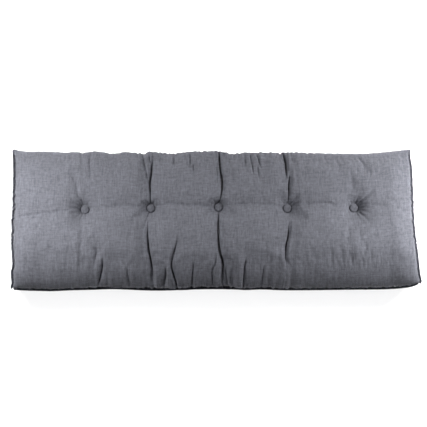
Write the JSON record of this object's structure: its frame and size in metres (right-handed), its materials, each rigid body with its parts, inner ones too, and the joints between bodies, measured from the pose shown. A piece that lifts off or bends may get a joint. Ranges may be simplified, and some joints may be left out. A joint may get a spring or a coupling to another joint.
{
  "type": "triangular headboard pillow",
  "caption": "Long wedge-shaped headboard pillow in blue-grey woven cloth, tufted with covered buttons in one row along its slanted front, lying on its back.",
  "frame": {"origin": "under the middle of the footprint, on the surface that the pillow's back panel lies on", "axes": "+X along the pillow, +Y towards its thin top edge, +Z out of the flat back panel towards the slanted, tufted front"},
  "size_m": [1.5068, 0.516, 0.2003],
  "materials": {
    "cushion_cloth": "matt blue-grey linen-look plain weave",
    "button_cloth": "the same weave, stretched over the button"
  },
  "bodies": {
    "root": {"cushion": "cushion_cloth", "button_1": "button_cloth", "button_2": "button_cloth", "button_3": "button_cloth", "button_4": "button_cloth", "button_5": "button_cloth"}
  },
  "joints": []
}
